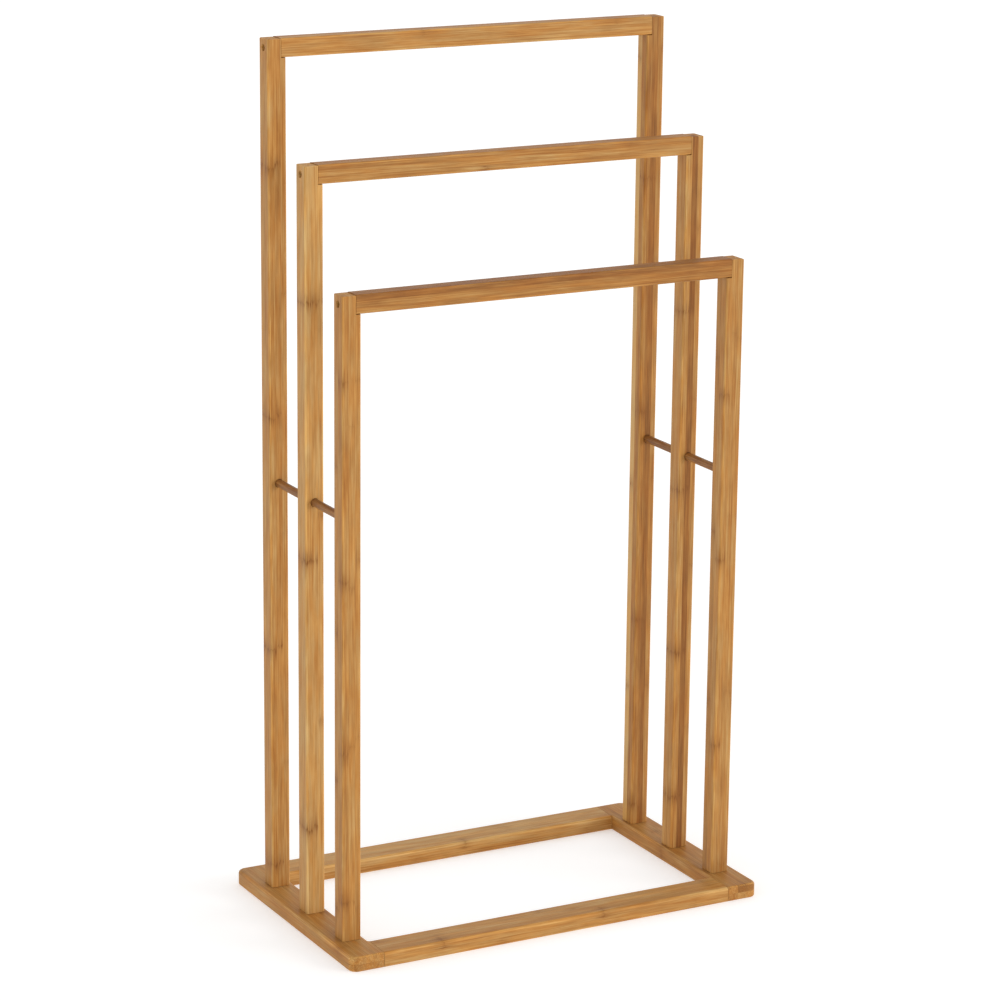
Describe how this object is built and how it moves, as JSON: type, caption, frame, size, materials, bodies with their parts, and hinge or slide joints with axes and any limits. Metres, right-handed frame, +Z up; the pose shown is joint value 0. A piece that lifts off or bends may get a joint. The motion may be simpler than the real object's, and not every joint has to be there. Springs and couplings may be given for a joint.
{
  "type": "towel rack",
  "caption": "Free-standing bamboo towel rack: towel frames of stepped height, each a bar let into square posts, stand in a row on a flat rectangular base frame and are tied by slim rods.",
  "frame": {"origin": "on the floor, under the middle of the base frame", "axes": "+Z up, +X along the towel bars, -Y towards the front, where the lowest towel frame stands"},
  "size_m": [0.42, 0.25, 0.8],
  "materials": {
    "bamboo": "laminated caramel bamboo in strips, satin clear lacquer",
    "bamboo_rod": "turned bamboo rod, a little darker, satin clear lacquer",
    "screw_steel": "dark bronzed steel wood screws"
  },
  "bodies": {
    "root": {"base_side_left": "bamboo", "base_side_right": "bamboo", "base_rail_front": "bamboo", "base_rail_rear": "bamboo", "post_front_left": "bamboo", "post_front_right": "bamboo", "post_middle_left": "bamboo", "post_middle_right": "bamboo", "post_rear_left": "bamboo", "post_rear_right": "bamboo", "towel_bar_front": "bamboo", "towel_bar_middle": "bamboo", "towel_bar_rear": "bamboo", "spacer_rod_left": "bamboo_rod", "spacer_rod_right": "bamboo_rod", "bar_screw_front_left": "screw_steel", "bar_screw_front_right": "screw_steel", "bar_screw_middle_left": "screw_steel", "bar_screw_middle_right": "screw_steel", "bar_screw_rear_left": "screw_steel", "bar_screw_rear_right": "screw_steel", "post_screw_front_left": "screw_steel", "post_screw_front_right": "screw_steel", "post_screw_middle_left": "screw_steel", "post_screw_middle_right": "screw_steel", "post_screw_rear_left": "screw_steel", "post_screw_rear_right": "screw_steel", "rail_pin_front_left_outer": "bamboo_rod", "rail_pin_front_left_inner": "bamboo_rod", "rail_pin_front_right_outer": "bamboo_rod", "rail_pin_front_right_inner": "bamboo_rod", "rail_pin_rear_left_outer": "bamboo_rod", "rail_pin_rear_left_inner": "bamboo_rod", "rail_pin_rear_right_outer": "bamboo_rod", "rail_pin_rear_right_inner": "bamboo_rod"}
  },
  "joints": []
}
